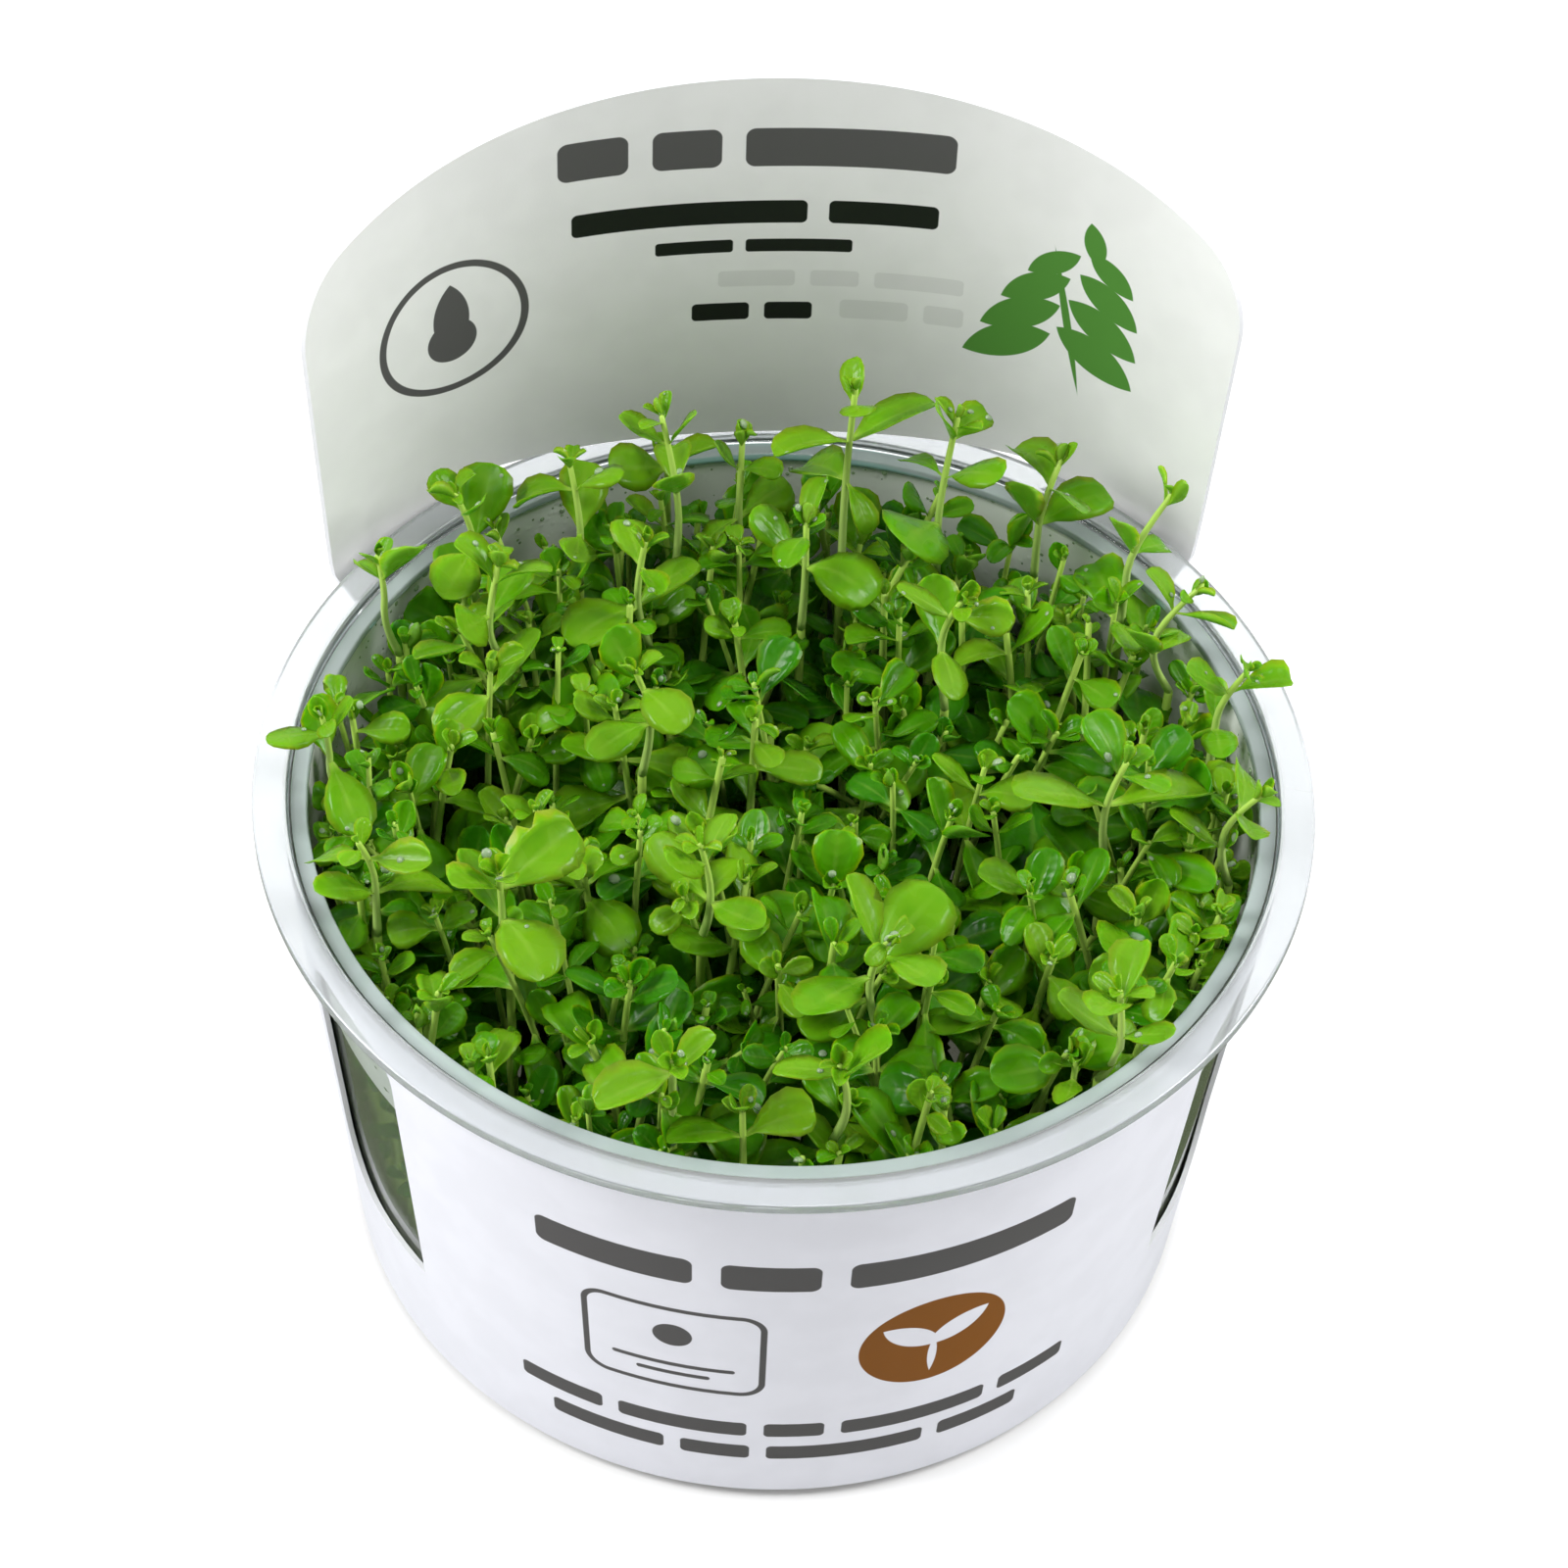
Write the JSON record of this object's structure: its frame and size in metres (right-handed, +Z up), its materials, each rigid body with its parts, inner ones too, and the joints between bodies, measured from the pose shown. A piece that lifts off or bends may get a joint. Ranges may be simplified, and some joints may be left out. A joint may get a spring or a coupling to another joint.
{
  "type": "potted carpet plant",
  "caption": "Dense low carpet plant grown in a clear tapered cup, in a printed white card sleeve with a tall back panel.",
  "frame": {"origin": "centre of the cup's flat base", "axes": "+Z up, the sleeve's front faces -Y, and the tall back panel is at +Y"},
  "size_m": [0.1, 0.1, 0.1037],
  "materials": {
    "clear_plastic": "clear gloss",
    "white_card": "coated matt white",
    "gel": "clear wet",
    "leaf": "satin leaf"
  },
  "bodies": {
    "root": {"cup": "clear_plastic", "sleeve": "white_card", "growing_gel": "gel", "leaf_carpet": "leaf", "plantlet_01": "leaf", "plantlet_02": "leaf", "plantlet_03": "leaf", "plantlet_04": "leaf", "plantlet_05": "leaf", "plantlet_06": "leaf", "plantlet_07": "leaf", "plantlet_08": "leaf", "plantlet_09": "leaf", "plantlet_10": "leaf", "plantlet_11": "leaf", "plantlet_12": "leaf", "plantlet_13": "leaf", "plantlet_14": "leaf", "plantlet_15": "leaf", "plantlet_16": "leaf", "plantlet_17": "leaf", "plantlet_18": "leaf", "plantlet_19": "leaf", "plantlet_20": "leaf", "plantlet_21": "leaf", "plantlet_22": "leaf", "plantlet_23": "leaf", "plantlet_24": "leaf", "plantlet_25": "leaf", "plantlet_26": "leaf"}
  },
  "joints": []
}
